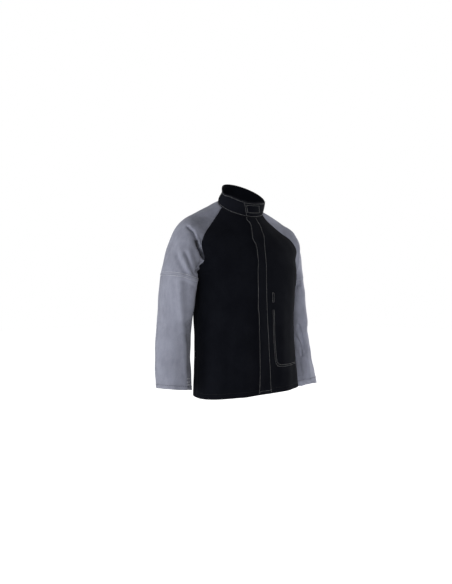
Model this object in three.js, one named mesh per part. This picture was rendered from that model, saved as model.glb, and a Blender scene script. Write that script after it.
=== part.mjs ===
// Welding jacket: black front and back panels, grey raglan sleeves, stand collar with a throat tab,
// and a flap over the front closure.
// Millimetres. The wearer faces -Y with the left arm at +X, and +Z is up.
// The origin is the middle of the neck opening, on the seam between collar and body.
import * as THREE from 'three';
import { LoftGeometry } from 'three/addons/geometries/LoftGeometry.js';

const RIGHT = -1; // the wearer's right is -X
const LEFT = 1;

// Cloth and seams
const CLOTH = 2; // wall thickness of every piece, leather or cotton
const SEAM = 1; // gap between two pieces sewn edge to edge
const LAP = 0.5; // gap under a piece that lies on another
const CELLS_PER_MM = 20; // points of sewn edges in one such cell are the same point

// Rows of a table as objects, with the columns' names as keys.
const table = (columns, rows) =>
  rows.map((row) => Object.fromEntries(columns.map((name, i) => [name, row[i]])));

// Neck seam: an ellipse seen from above, which rises from the front to the back.
const NECK = { middle_y: 3, half_width: 89, half_depth: 75, middle_z: -6, rise: 46 };
const NECK_SIDE = [NECK.half_width, NECK.middle_y, NECK.middle_z];
const NECK_FRONT = [...NECK_SIDE, NECK.middle_y - NECK.half_depth, NECK.middle_z - NECK.rise];
const NECK_BACK = [...NECK_SIDE, NECK.middle_y + NECK.half_depth, NECK.middle_z + NECK.rise];

// Sections of the body from the hem to the neck, each a quarter of a superellipse of the power square.
// It runs from the body's side to the centre front or back. A panel ends at seam_share of the half width:
// at the side seam up to the underarm, and at the raglan seam from there to the neck.
// steps is how many facets lie between the row and the next one.
const BODY_COLUMNS = [
  'half_width', 'side_y', 'side_z', 'middle_y', 'middle_z', 'square', 'seam_share', 'steps',
];
const UNDERARM_ROW = 4;
const FRONT_ROWS = table(BODY_COLUMNS, [
  [222, -52, -712, -156, -710, 2.6, 1, 3],
  [213, -42, -600, -153, -600, 2.6, 1, 3],
  [208, -36, -470, -147, -470, 2.6, 1, 3],
  [212, -30, -360, -144, -360, 2.8, 1, 3],
  [220, -16, -262, -141, -262, 3.4, 1, 2],
  [228, -12, -216, -137, -208, 2.8, 0.91, 2],
  [252, -10, -168, -128, -168, 2.4, 0.861, 2],
  [237, 0, -124, -115, -135, 2.2, 0.844, 2],
  [178, 10, -82, -98, -105, 2, 0.9, 2],
  [118, 5, -40, -84, -76, 2, 0.983, 2],
  [...NECK_FRONT, 2, 0.994, 1],
]);
const BACK_ROWS = table(BODY_COLUMNS, [
  [222, -52, -712, 52, -712, 2.5, 1, 3],
  [213, -42, -600, 66, -600, 2.5, 1, 3],
  [208, -36, -470, 80, -470, 2.5, 1, 3],
  [212, -30, -360, 92, -360, 2.6, 1, 3],
  [220, -16, -262, 103, -262, 3, 1, 2],
  [230, -12, -226, 107, -212, 2.6, 0.93, 2],
  [257, -10, -172, 109, -160, 2.4, 0.829, 2],
  [289, 0, -122, 109, -103, 2.2, 0.686, 2],
  [281, 15, -56, 106, -44, 2, 0.533, 2],
  [185, 15, -6, 98, 6, 2, 0.519, 2],
  [...NECK_BACK, 2, 0.56, 1],
]);
const HALF_BODY_FACETS = 10; // across half of the front or back
const COLUMN_SPREAD = 0.9; // power that spaces the columns, closer together at the edge below 1

// Sections of the sleeves, from the shoulder to the cuff, with x counted outwards from the body's middle.
// over is the outer line of the arm and under the inner one.
// front and back are the reach from the middle between those two.
const SLEEVE_COLUMNS = [
  'over_x', 'over_y', 'over_z', 'under_x', 'under_y', 'under_z', 'front', 'back', 'steps',
];
const SLEEVE_ROWS = {
  [RIGHT]: table(SLEEVE_COLUMNS, [
    [224, 42, -64, 226, -12, -274, 98, 62, 3],
    [270, 36, -122, 229, -8, -286, 100, 66, 3],
    [316, 16, -268, 230, -12, -300, 109, 84, 4],
    [333, 20, -430, 231, -4, -438, 84, 77, 3],
    [349, 8, -565, 240, -16, -569, 72, 72, 3],
    [350, -5, -669, 236, -27, -680, 70, 70, 0],
  ]),
  [LEFT]: table(SLEEVE_COLUMNS, [
    [246, 44, -64, 226, -12, -274, 100, 62, 3],
    [276, 40, -112, 229, -6, -286, 84, 66, 3],
    [303, 30, -270, 229, 2, -300, 74, 70, 4],
    [326, 24, -430, 236, 0, -440, 80, 72, 3],
    [332, 21, -545, 247, -3, -551, 76, 66, 3],
    [360, 1, -702, 262, -21, -730, 74, 64, 0],
  ]),
};
const RAGLAN_STEPS = 3; // facets between the raglan seam and the first section
const UPPER_SECTIONS = 3; // sections above the seam at the upper arm
const NECK_FACETS = 4; // across a sleeve's end at the neck

// Drag folds of the sleeves: a line over the outside, the fold's half width and how far it sinks.
const FOLD_COLUMNS = ['side', 'from_x', 'from_y', 'from_z', 'to_x', 'to_y', 'to_z', 'width', 'sink'];
const FOLDS = table(FOLD_COLUMNS, [
  [RIGHT, 232, -44, -112, 211, -87, -200, 15, 9],
  [RIGHT, 272, -22, -180, 250, -62, -262, 20, 5],
  [LEFT, 254, -34, -120, 226, -80, -204, 15, 7],
]);

// Top edge of the stand collar: an ellipse that rises to the back and drops a little to the wearer's left.
const COLLAR = {
  middle_y: -21,
  half_width: 87,
  half_depth: 71,
  middle_z: 45.5,
  back_rise: 0.66,
  left_drop: 0.05,
  steps: 3,
};
// Throat tab over the collar's front from the wearer's left. Its columns are counted from the centre.
const TAB = { right_columns: 2, left_columns: 7, bottom: 0.05, top: 0.97, steps: 3 };
// Flap over the closure, from its free edge on the wearer's right to its seam.
// The seam runs outwards below spread_level.
const FLAP = {
  free_x: -21,
  seam_x: 25,
  columns: 4,
  hem_level: 0.05,
  neck_level: 9.8,
  spread_level: 3,
  spread: 12,
};
// Inside pocket behind the left front, between two levels of the front's rows and across part of its columns.
const POCKET = { bottom_level: 1, top_level: 3.22, first_column: 4, last_column: 9, front_x: 57 };

const vector = (x, y, z) => new THREE.Vector3(x, y, z);

// Smooth line through some of a table's points, read at a level counted in table rows.
function rowLine(points, from, to) {
  const line = new THREE.CatmullRomCurve3(points.slice(from, to + 1));
  return (level) => line.getPoint((level - from) / (to - from));
}

// A front or back panel: point() takes the side, a level up the table's rows and a share of the half width.
function bodyPanel(rows) {
  const last = rows.length - 1;
  const sides = rows.map((r) => vector(r.half_width, r.side_y, r.side_z));
  const lowerSide = rowLine(sides, 0, UNDERARM_ROW);
  const upperSide = rowLine(sides, UNDERARM_ROW, last);
  const side = (level) => (level < UNDERARM_ROW ? lowerSide(level) : upperSide(level));
  const middle = rowLine(rows.map((r) => vector(0, r.middle_y, r.middle_z)), 0, last);
  const raglan = rowLine(rows.map((r) => vector(r.seam_share, 0, 0)), UNDERARM_ROW, last);
  const levels = rows.flatMap((row, i) => Array.from({ length: row.steps }, (_, k) => i + k / row.steps));
  return {
    last,
    levels,
    halfWidth: (level) => side(level).x,
    seamShare: (level) => (level < UNDERARM_ROW ? 1 : raglan(level).x),
    point: (hand, level, share) => {
      const s = side(level);
      const m = middle(level);
      const low = Math.min(Math.floor(level), last - 1);
      const square = THREE.MathUtils.lerp(rows[low].square, rows[low + 1].square, level - low);
      const inwards = Math.max(1 - share ** square, 0) ** (1 / square);
      const along = THREE.MathUtils.lerp;
      return vector(hand * s.x * share, along(s.y, m.y, inwards), along(s.z, m.z, inwards));
    },
  };
}

const FRONT = bodyPanel(FRONT_ROWS);
const BACK = bodyPanel(BACK_ROWS);

// Columns of half a panel as parts of its width, from the edge to the middle and closer together at the edge.
const COLUMNS = Array.from({ length: HALF_BODY_FACETS + 1 }, (_, i) => {
  const angle = (i / HALF_BODY_FACETS) * (Math.PI / 2);
  return i === HALF_BODY_FACETS ? 0 : Math.cos(angle) ** COLUMN_SPREAD;
});

const panelRow = (panel, hand, level) =>
  COLUMNS.map((column) => panel.point(hand, level, column * panel.seamShare(level)));

const frontGrid = (hand) => FRONT.levels.map((level) => panelRow(FRONT, hand, level));

const backGrid = () =>
  BACK.levels.map((level) => [
    ...panelRow(BACK, RIGHT, level),
    ...panelRow(BACK, LEFT, level).slice(0, -1).reverse(),
  ]);

// Point of the front at a distance from the centre front.
const frontPoint = (level, x) => FRONT.point(Math.sign(x) || 1, level, Math.abs(x) / FRONT.halfWidth(level));

// Neck edge of a sleeve, from the front raglan seam to the back one.
function neckArc(hand) {
  const front = panelRow(FRONT, hand, FRONT.last)[0];
  const back = panelRow(BACK, hand, BACK.last)[0];
  const from = -Math.acos(FRONT.seamShare(FRONT.last));
  const to = Math.acos(BACK.seamShare(BACK.last));
  const inside = Array.from({ length: NECK_FACETS - 1 }, (_, i) => {
    const angle = THREE.MathUtils.lerp(from, to, (i + 1) / NECK_FACETS);
    return vector(
      hand * NECK.half_width * Math.cos(angle),
      NECK.middle_y + NECK.half_depth * Math.sin(angle),
      NECK.middle_z + NECK.rise * Math.sin(angle),
    );
  });
  return [front, ...inside, back];
}

// Middle of a sleeve section and half of the way between its two lines.
function sectionFrame(hand, row) {
  const over = vector(hand * row.over_x, row.over_y, row.over_z);
  const under = vector(hand * row.under_x, row.under_y, row.under_z);
  return { middle: over.clone().add(under).multiplyScalar(0.5), half: over.sub(under).multiplyScalar(0.5) };
}

// Point of a sleeve section at an angle round it: none on the outer line, a quarter turn at the front.
function sectionPoint(hand, row, angle) {
  const { middle, half } = sectionFrame(hand, row);
  const reach = Math.sin(angle) > 0 ? row.front : row.back;
  return middle.addScaledVector(half, Math.cos(angle)).add(vector(0, -reach * Math.sin(angle), 0));
}

// Angle at which a section passes closest to a point.
function sectionAngle(hand, row, point) {
  const { middle, half } = sectionFrame(hand, row);
  const away = point.clone().sub(middle);
  const reach = away.y < 0 ? row.front : row.back;
  return Math.atan2(-away.y / reach, away.dot(half) / half.lengthSq());
}

// Points round a sleeve's raglan seam and neck edge, from the front of the neck down, round and up the back.
function raglanLoop(hand) {
  const seam = (panel) =>
    panel.levels.filter((level) => level >= UNDERARM_ROW).map((level) => panelRow(panel, hand, level)[0]);
  const front = seam(FRONT).reverse();
  const back = seam(BACK);
  const neck = neckArc(hand).reverse();
  return [...front.slice(0, -1), ...back.slice(0, -1), ...neck.slice(0, -1)];
}

// How far the folds sink the leather at a point of a sleeve.
function foldSink(hand, point) {
  const closest = vector(0, 0, 0);
  return FOLDS.filter((fold) => fold.side === hand).reduce((sink, fold) => {
    const from = vector(hand * fold.from_x, fold.from_y, fold.from_z);
    const to = vector(hand * fold.to_x, fold.to_y, fold.to_z);
    new THREE.Line3(from, to).closestPointToPoint(point, true, closest);
    return sink + fold.sink * Math.exp(-((closest.distanceTo(point) / fold.width) ** 2));
  }, 0);
}

// Grid of a whole sleeve: a row for each point round the raglan loop, running down to the cuff.
function sleeveGrid(hand) {
  const rows = SLEEVE_ROWS[hand];
  const steps = [RAGLAN_STEPS, ...rows.map((row) => row.steps)];
  const levels = steps.flatMap((count, i) => Array.from({ length: count }, (_, k) => i + k / count));
  levels.push(rows.length);
  const grid = raglanLoop(hand).map((point) => {
    const angle = sectionAngle(hand, rows[0], point);
    const line = new THREE.CatmullRomCurve3([point, ...rows.map((row) => sectionPoint(hand, row, angle))]);
    return levels.map((level) => line.getPoint(level / rows.length));
  });
  const normals = gridNormals(grid, hand, true);
  grid.forEach((row, r) =>
    row.slice(1).forEach((point, c) => point.addScaledVector(normals[r][c + 1], -foldSink(hand, point))),
  );
  return { grid, seamColumn: levels.indexOf(UPPER_SECTIONS) };
}

// Point above the neck seam on the collar's top edge.
function collarTop(seam) {
  const angle = Math.atan2((seam.y - NECK.middle_y) / NECK.half_depth, seam.x / NECK.half_width);
  const y = COLLAR.middle_y + COLLAR.half_depth * Math.sin(angle);
  const x = COLLAR.half_width * Math.cos(angle);
  const rise = (y - COLLAR.middle_y) * COLLAR.back_rise - x * COLLAR.left_drop;
  return vector(x, y, COLLAR.middle_z + rise);
}

// Rows of the collar over some of the neck seam, between two parts of its height.
const collarRows = (seam, bottom, top, steps) =>
  Array.from({ length: steps + 1 }, (_, row) =>
    seam.map((point) => point.clone().lerp(collarTop(point), THREE.MathUtils.lerp(bottom, top, row / steps))),
  );

// Neck seam round the whole collar, from the centre front over the wearer's right shoulder and back again.
function neckSeam() {
  const half = (hand) => [...panelRow(FRONT, hand, FRONT.last).reverse(), ...neckArc(hand).slice(1, -1)];
  return [...half(RIGHT), ...backGrid().at(-1), ...half(LEFT).reverse()];
}

// Directions that leave a grid's surface on the outside, from its neighbours both ways.
function gridNormals(grid, outward, ring) {
  const rows = grid.length;
  const columns = grid[0].length;
  return grid.map((row, r) =>
    row.map((_, c) => {
      const after = ring ? (r + 1) % rows : Math.min(r + 1, rows - 1);
      const before = ring ? (r + rows - 1) % rows : Math.max(r - 1, 0);
      const along = grid[after][c].clone().sub(grid[before][c]);
      const across = row[Math.min(c + 1, columns - 1)].clone().sub(row[Math.max(c - 1, 0)]);
      return along.cross(across).normalize().multiplyScalar(outward);
    }),
  );
}

// Sewn edges share one direction for their rims, so that neither cuts into the other.
// A sleeve's direction counts twice, because it meets two panels at the underarm.
function shareRims(pieces) {
  const key = (p) => p.toArray().map((v) => Math.round(v * CELLS_PER_MM)).join();
  const rims = new Map();
  const eachPoint = (visit) =>
    pieces.forEach(({ grid, normals, ring }) => {
      const weight = ring ? 2 : 1;
      grid.forEach((row, r) => row.forEach((p, c) => visit(key(p), normals[r][c], weight)));
    });
  eachPoint((at, normal, weight) => {
    const sum = rims.get(at) ?? vector(0, 0, 0);
    rims.set(at, sum.addScaledVector(normal, weight));
  });
  eachPoint((at, normal) => normal.copy(rims.get(at)).normalize());
}

// Draws an edge back from its seam, square to it, by half the seam gap.
function openEdge(points, inner, normals, ring) {
  const last = points.length - 1;
  const pulls = points.map((point, i) => {
    const after = points[ring ? (i + 1) % points.length : Math.min(i + 1, last)];
    const before = points[ring ? (i + last) % points.length : Math.max(i - 1, 0)];
    const pull = normals[i].clone().cross(after.clone().sub(before)).setLength(SEAM / 2);
    return pull.dot(inner[i].clone().sub(point)) < 0 ? pull.negate() : pull;
  });
  points.forEach((point, i) => point.add(pulls[i]));
}

function openSeams({ grid, normals, sewn, ring }) {
  const column = (cells, c) => cells.map((row) => row.at(c));
  if (sewn.includes('first')) openEdge(column(grid, 0), column(grid, 1), column(normals, 0), ring);
  if (sewn.includes('last')) openEdge(column(grid, -1), column(grid, -2), column(normals, -1), ring);
  if (sewn.includes('start')) openEdge(grid[0], grid[1], normals[0], false);
  if (sewn.includes('end')) openEdge(grid.at(-1), grid.at(-2), normals.at(-1), false);
}

// Closed wall round a grid: each row runs out over one face of the cloth and back over the other.
function wall({ grid, normals, ring, outward }) {
  const sections = grid.map((row, r) => {
    const face = (offset) => row.map((p, c) => p.clone().addScaledVector(normals[r][c], offset));
    const section = [...face(CLOTH / 2), ...face(-CLOTH / 2).reverse()];
    return outward > 0 ? section.reverse() : section;
  });
  if (ring) sections.push(sections[0]);
  return new LoftGeometry(sections, { capStart: !ring, capEnd: !ring });
}

const black = new THREE.MeshStandardMaterial({ color: 0x111216, roughness: 0.9, metalness: 0 });
const grey = new THREE.MeshStandardMaterial({ color: 0x8e909c, roughness: 0.95, metalness: 0 });

const piece = (name, material, grid, outward, sewn, ring = false) => ({
  name,
  material,
  grid,
  outward,
  sewn,
  ring,
  normals: gridNormals(grid, outward, ring),
});

// A piece that lies on another one's outside, or on its inside.
function laidOn(name, material, grid, outward, inside = false) {
  const normals = gridNormals(grid, outward, false);
  const lift = (inside ? -1 : 1) * (CLOTH + LAP);
  grid.forEach((row, r) => row.forEach((p, c) => p.addScaledVector(normals[r][c], lift)));
  return piece(name, material, grid, outward, []);
}

function sleevePieces(hand, label) {
  const { grid, seamColumn } = sleeveGrid(hand);
  const copy = (from, to) => grid.map((row) => row.slice(from, to).map((p) => p.clone()));
  return [
    piece(`sleeve_upper_${label}`, grey, copy(0, seamColumn + 1), hand, ['first', 'last'], true),
    piece(`sleeve_lower_${label}`, grey, copy(seamColumn), hand, ['first'], true),
  ];
}

function tabGrid() {
  const seam = neckSeam();
  const columns = [...seam.slice(-TAB.left_columns - 1), ...seam.slice(1, TAB.right_columns + 1)];
  return collarRows(columns, TAB.bottom, TAB.top, TAB.steps);
}

function flapGrid() {
  const inside = FRONT.levels.filter((level) => level > FLAP.hem_level && level < FLAP.neck_level);
  const levels = [FLAP.hem_level, ...inside, FLAP.neck_level];
  return levels.map((level) => {
    const spread = FLAP.spread * Math.max(1 - level / FLAP.spread_level, 0);
    return Array.from({ length: FLAP.columns + 1 }, (_, i) =>
      frontPoint(level, THREE.MathUtils.lerp(FLAP.free_x, FLAP.seam_x + spread, i / FLAP.columns)),
    );
  });
}

function pocketGrid() {
  const inside = FRONT.levels.filter((level) => level >= POCKET.bottom_level && level < POCKET.top_level);
  const columns = COLUMNS.slice(POCKET.first_column, POCKET.last_column);
  return [...inside, POCKET.top_level].map((level) => [
    ...columns.map((column) => FRONT.point(LEFT, level, column)),
    frontPoint(level, POCKET.front_x),
  ]);
}

const sewnPieces = [
  piece('front_right', black, frontGrid(RIGHT), -1, ['first', 'last', 'end']),
  piece('front_left', black, frontGrid(LEFT), 1, ['first', 'last', 'end']),
  piece('back', black, backGrid(), 1, ['first', 'last', 'end']),
  ...sleevePieces(RIGHT, 'right'),
  ...sleevePieces(LEFT, 'left'),
  piece('collar', black, collarRows(neckSeam(), 0, 1, COLLAR.steps), 1, ['first', 'last', 'start']),
];
shareRims(sewnPieces);
sewnPieces.forEach(openSeams);

const laidPieces = [
  laidOn('collar_tab', black, tabGrid(), 1),
  laidOn('front_flap', black, flapGrid(), -1),
  laidOn('pocket', black, pocketGrid(), 1, true),
];

const jacket = new THREE.Group();
for (const made of [...sewnPieces, ...laidPieces]) {
  const mesh = new THREE.Mesh(wall(made), made.material);
  mesh.name = made.name;
  jacket.add(mesh);
}

export default jacket;
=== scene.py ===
import math

import bpy
import numpy as np
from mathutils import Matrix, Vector


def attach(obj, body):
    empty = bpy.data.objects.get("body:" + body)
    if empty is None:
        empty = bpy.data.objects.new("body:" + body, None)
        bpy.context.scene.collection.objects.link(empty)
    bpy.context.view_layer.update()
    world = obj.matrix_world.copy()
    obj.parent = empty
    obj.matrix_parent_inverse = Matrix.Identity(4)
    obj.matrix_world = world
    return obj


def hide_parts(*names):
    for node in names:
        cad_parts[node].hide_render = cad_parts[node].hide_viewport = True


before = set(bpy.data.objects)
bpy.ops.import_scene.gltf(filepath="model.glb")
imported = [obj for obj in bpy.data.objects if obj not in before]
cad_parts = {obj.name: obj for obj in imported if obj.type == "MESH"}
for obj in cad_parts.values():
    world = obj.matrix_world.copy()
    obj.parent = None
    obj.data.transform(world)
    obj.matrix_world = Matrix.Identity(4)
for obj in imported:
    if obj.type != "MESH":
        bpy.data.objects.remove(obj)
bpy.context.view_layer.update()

MM = 0.001
RIGHT = -1
LEFT = 1
SIDES = {RIGHT: "right", LEFT: "left"}

# Cloth: its thickness, and the room between two layers of it
CLOTH = 2.0
LAP = 0.5

# Steps between the points of each piece's grid
FRONT_STEP = 3.6
BACK_STEP = 4.2
SLEEVE_ROUND_STEP = 4.0
UPPER_SLEEVE_STEP = 2.6
LOWER_SLEEVE_STEP = 4.0
COLLAR_ROUND_STEP = 2.4
COLLAR_UP_STEP = 2.0
TAB_ALONG_STEP = 1.8
TAB_UP_STEP = 1.6
FLAP_ALONG_STEP = 2.6
FLAP_ACROSS_STEP = 1.7
POCKET_ACROSS_STEP = 3.0
POCKET_LEVELS = 84
# Closer points beside an edge, and the width that they take up
EDGE_PLACES = (0, 0.5, 1.1, 1.8, 2.7, 3.8, 5.2)
EDGE_ZONE = 7.0

# How far a rim bulges as a share of its thickness, and how softly a turned edge steps down
RIM_BULGE = 0.4
TURN_SOFTNESS = 0.7
# Reach and depth of the roll into each seam
BODY_SEAM_ROLL = (2.6, 1.3)
RAGLAN_ROLL = (3.4, 1.5)
ARM_SEAM_ROLL = (2.2, 1.5)
COLLAR_ROLL = (2.4, 1.5)
FLAP_ROLL = (2.0, 1.2)
# Depth and reach of the groove that stitches draw in
STITCH_SINK = 0.6
STITCH_SINK_REACH = 1.7
# Hem and cuffs: width of the turned edge, its row of stitches above the edge,
# and how much thicker it is outside and inside
HEM_WIDTH = 19.0
HEM_ROW = 17.0
HEM_TURN = (0.5, 0.9)
CUFF_WIDTH = {RIGHT: 13.0, LEFT: 23.0}
CUFF_ROW = {RIGHT: 12.0, LEFT: 22.0}
CUFF_TURN = (0.4, 1.0)
CUFF_SINK = 0.7

# Neck seam: an ellipse seen from above, which rises from the front to the back
NECK_MIDDLE_Y = 3.0
NECK_MIDDLE_Z = -6.0
NECK_HALF_WIDTH = 89.0
NECK_HALF_DEPTH = 75.0
NECK_RISE = 46.0

# Sections of the body from the hem to the neck:
# half width, side y and z, middle y and z, squareness and the share of the half width where the panel ends.
# The underarm is the level, counted in rows, where the raglan seam starts.
UNDERARM = 4
FRONT_ROWS = (
    (222, -52, -712, -156, -710, 2.6, 1),
    (213, -42, -600, -153, -600, 2.6, 1),
    (208, -36, -470, -147, -470, 2.6, 1),
    (212, -30, -360, -144, -360, 2.8, 1),
    (220, -16, -262, -141, -262, 3.4, 1),
    (228, -12, -216, -137, -208, 2.8, 0.91),
    (252, -10, -168, -128, -168, 2.4, 0.861),
    (237, 0, -124, -115, -135, 2.2, 0.844),
    (178, 10, -82, -98, -105, 2, 0.9),
    (118, 5, -40, -84, -76, 2, 0.983),
    (89, 3, -6, -72, -52, 2, 0.994),
)
BACK_ROWS = (
    (222, -52, -712, 52, -712, 2.5, 1),
    (213, -42, -600, 66, -600, 2.5, 1),
    (208, -36, -470, 80, -470, 2.5, 1),
    (212, -30, -360, 92, -360, 2.6, 1),
    (220, -16, -262, 103, -262, 3, 1),
    (230, -12, -226, 107, -212, 2.6, 0.93),
    (257, -10, -172, 109, -160, 2.4, 0.829),
    (289, 0, -122, 109, -103, 2.2, 0.686),
    (281, 15, -56, 106, -44, 2, 0.533),
    (185, 15, -6, 98, 6, 2, 0.519),
    (89, 3, -6, 78, 40, 2, 0.56),
)

# The front's raglan seam tucks in at the armpit: share of the half width, level and reach
ARMPIT_TUCK = 0.02
TUCK_LEVEL = 4.45
TUCK_REACH = 0.17

# Arm seam: the section of the sleeve that it lies on, its rows of stitches above and below it,
# and the height of the lapped leather above it, which reaches a little past the stitches
ARM_SEAM = 3
ARM_SEAM_ROWS = {RIGHT: (7, 5), LEFT: (4, 9)}
ARM_SEAM_LAP = 1.1
ARM_SEAM_LAP_REACH = 2.0
# Sections of the sleeves from the shoulder to the cuff, with x counted outwards:
# a point on the outer line, a point on the inner line, and the reach to the front and to the back
SLEEVE_ROWS = {
    RIGHT: (
        (224, 42, -64, 226, -12, -274, 98, 62),
        (270, 36, -122, 229, -8, -286, 100, 66),
        (316, 16, -268, 230, -12, -300, 109, 84),
        (333, 20, -430, 231, -4, -438, 84, 77),
        (349, 8, -565, 240, -16, -569, 72, 72),
        (350, -5, -669, 236, -27, -680, 70, 70),
    ),
    LEFT: (
        (246, 44, -64, 226, -12, -274, 100, 62),
        (276, 40, -112, 229, -6, -286, 84, 66),
        (303, 30, -270, 229, 2, -300, 74, 70),
        (326, 24, -430, 236, 0, -440, 80, 72),
        (332, 21, -545, 247, -3, -551, 76, 66),
        (360, 1, -702, 262, -21, -730, 74, 64),
    ),
}

# Folds of each sleeve: half width, sink, the height of the ridge on the side towards the neck,
# and a line over the leather with x counted outwards. A fold with a negative sink stands out.
SLEEVE_FOLDS = {
    RIGHT: (
        # Hollow in front of the shoulder
        (15, 9, 0, ((232, -44, -112), (211, -87, -200))),
        # Drag crease from the shoulder, which deepens towards the armpit
        (5, 8, 3, (
            (243, -6, -90), (234, -43, -115), (233, -64, -140),
            (229, -77, -166), (224, -81, -184),
        )),
        (5.8, 17, 3, (
            (233, -64, -140), (232, -74, -158), (228, -80, -176),
            (220, -81, -193), (212, -84, -206), (205, -88, -220),
        )),
        # Folds across the upper arm
        (11, 7, 1.5, (
            (288, -10, -178), (292, -40, -208), (292, -66, -234),
            (288, -88, -258), (276, -104, -278),
        )),
        (8, 9, 2, (
            (276, -58, -182), (274, -66, -193), (272, -84, -218),
            (267, -98, -243), (258, -104, -264), (246, -97, -290),
        )),
        (6, 6, 1, ((212, -84, -220), (220, -80, -236), (236, -90, -252), (252, -100, -268))),
        # Swell below the armpit, and the fold under the arm seam
        (22, -11, 0, ((256, -100, -290), (254, -95, -343), (254, -84, -379), (258, -77, -414))),
        (9, 3, 1.2, ((305, -66, -288), (291, -93, -295), (275, -106, -305), (250, -94, -316))),
        # Long ridge down the front
        (13, -8, 0, (
            (299, -80, -288), (297, -80, -360), (285, -75, -465),
            (281, -76, -518), (280, -82, -621), (284, -86, -690),
        )),
        # Folds round the elbow
        (11, 2.4, 1.2, ((304, -80, -436), (272, -78, -450), (242, -52, -444))),
        (10, 2, 1, ((300, -76, -474), (270, -74, -488), (244, -52, -480))),
        (16, 2, 0.8, ((338, 50, -420), (352, 10, -440), (338, -30, -446))),
    ),
    LEFT: (
        # Hollow in front of the shoulder, and the drag crease in it
        (15, 7, 0, ((254, -34, -120), (226, -80, -204))),
        (5, 3, 2, ((254, -34, -120), (240, -60, -165), (224, -84, -210))),
        # Fold under the arm seam
        (7, 6, 3, ((242, -46, -317), (248, -55, -309), (260, -60, -302))),
        # Creases at the elbow
        (7, 10, 2.5, (
            (252, -50, -462), (254, -55, -485), (260, -59, -507),
            (264, -62, -527), (270, -65, -547), (275, -68, -600),
        )),
        (7, 10, 2, (
            (248, -36, -515), (253, -42, -531), (257, -50, -545),
            (262, -57, -563), (266, -60, -610),
        )),
        # Hollow and ridge towards the cuff
        (14, 8, 0, ((257, -42, -590), (259, -45, -620), (263, -50, -654), (268, -54, -690))),
        (11, -8, 0, ((272, -67, -578), (279, -72, -610), (284, -76, -652), (287, -79, -700))),
        # Fold behind the elbow
        (15, 3, 0, ((342, 60, -440), (352, 30, -456), (342, -14, -462))),
    ),
}
# How far a fold's line may lie above or below the leather
FOLD_SLACK = 16.0
# Place and half width of the ridge beside a fold, counted in the fold's half widths
RIDGE_PLACE = 1.8
RIDGE_REACH = 1.4
# Shares of a ridged fold's line where it fades in and out, and how far from the sewn edge folds start
FOLD_FADE = (0.2, 0.12)
FOLD_START = 3.0
# Folds narrower than this get painted shade in their creases: its reach in half widths, and where it fades
CREASE_WIDTH = 6.0
CREASE_REACH = 1.5
CREASE_FADE = (0.12, 0.05)

# Where each sleeve is pushed flat, or its cuff is cut straighter: half width, the push,
# and a line over the leather, with x counted outwards
SLEEVE_PUSHES = {
    RIGHT: (
        (30, (-8, 13, 0), ((252, -95, -310), (250, -84, -360), (248, -66, -465), (246, -62, -600))),
        (26, (-7, 11, 0), ((246, -62, -600), (252, -70, -650), (258, -76, -690))),
        (24, (0, 0, 6), ((320, -60, -690), (300, -84, -690), (288, -86, -690))),
        (26, (0, 0, -6), ((340, 34, -672), (344, 16, -672))),
        (18, (0, 0, -4), ((254, -66, -688), (246, -48, -688))),
    ),
    LEFT: (
        (35, (-5, 2, 0), ((310, -48, -400), (312, -48, -440), (314, -46, -490))),
        (26, (0, 0, -10), ((350, -56, -706), (342, -66, -706))),
        (20, (0, 0, 7), ((294, -82, -722), (280, -74, -722))),
    ),
}

# Hanging folds of the body: where they start, how far down they grow, their reach to the sides,
# how much they lean, and the length and height of each wave
DRAPE_TOP_Z = -150.0
DRAPE_GROWTH = 520.0
DRAPE_HALF_WIDTH = 213.0
DRAPE_LEAN = 0.12
DRAPE_WAVES = ((170, 2.0), (96, 1.3), (52, 0.6))
FRONT_DRAPE_SEED = 3
BACK_DRAPE_SEED = 11
# Unevenness of worn cloth: seed, length and height of its waves
FRONT_WAVES = (7, 70, 0.5)
BACK_WAVES = (13, 80, 0.6)
COLLAR_WAVES = (23, 60, 0.6)
SLEEVE_WAVES = {RIGHT: (16, 90, 1.1), LEFT: (18, 90, 1.1)}
WAVE_COUNT = 6
WAVE_SPREAD = 2.4
WAVE_STRETCH = (0.7, 1.6)
# How far from a seam these waves come to their full height
BODY_HOLD = 30.0
SLEEVE_HOLD = 40.0

# Stand collar: its height, its rows of stitches, its bow, and how much thicker it is outside and inside
COLLAR_HEIGHT = 62.0
COLLAR_BOTTOM_ROW = 5.0
COLLAR_TOP_ROW = 4.5
COLLAR_BOW = 1.4
COLLAR_EXTRA = (0.3, 0.5)
# Top edge of the collar
COLLAR_MIDDLE_Y = -21.0
COLLAR_HALF_WIDTH = 87.0
COLLAR_HALF_DEPTH = 71.0
COLLAR_MIDDLE_Z = 45.5
COLLAR_BACK_RISE = 0.66
COLLAR_LEFT_DROP = 0.05
# Rise of the top edge under the tab, and the angle and reach of it
COLLAR_TAB_RISE = 7.0
COLLAR_TAB_ANGLE = -1.2
COLLAR_TAB_REACH = 0.55
# Dip of the top edge over the wearer's right shoulder, and the angle and reach of it
COLLAR_DIP = 11.0
COLLAR_DIP_ANGLE = 3.1
COLLAR_DIP_REACH = 0.4
# Waist behind the dip: depth, angle and reach of it, and its share and reach of the collar's height
COLLAR_WAIST = 8.0
COLLAR_WAIST_ANGLE = 2.7
COLLAR_WAIST_REACH = 0.5
COLLAR_WAIST_SHARE = 0.62
COLLAR_WAIST_HEIGHT = 0.26
COLLAR_WAIST_START = 0.1

# Throat tab: its length and height, its bow, its room above the collar, its extra thickness,
# and the lift of its free end and how far that reaches
TAB_LENGTH = 114.0
TAB_HEIGHT = 46.0
TAB_BOW = 1.4
TAB_ROOM = 0.4
TAB_EXTRA = 0.4
TAB_LIFT = 1.0
TAB_LIFT_REACH = 26.0
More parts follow.
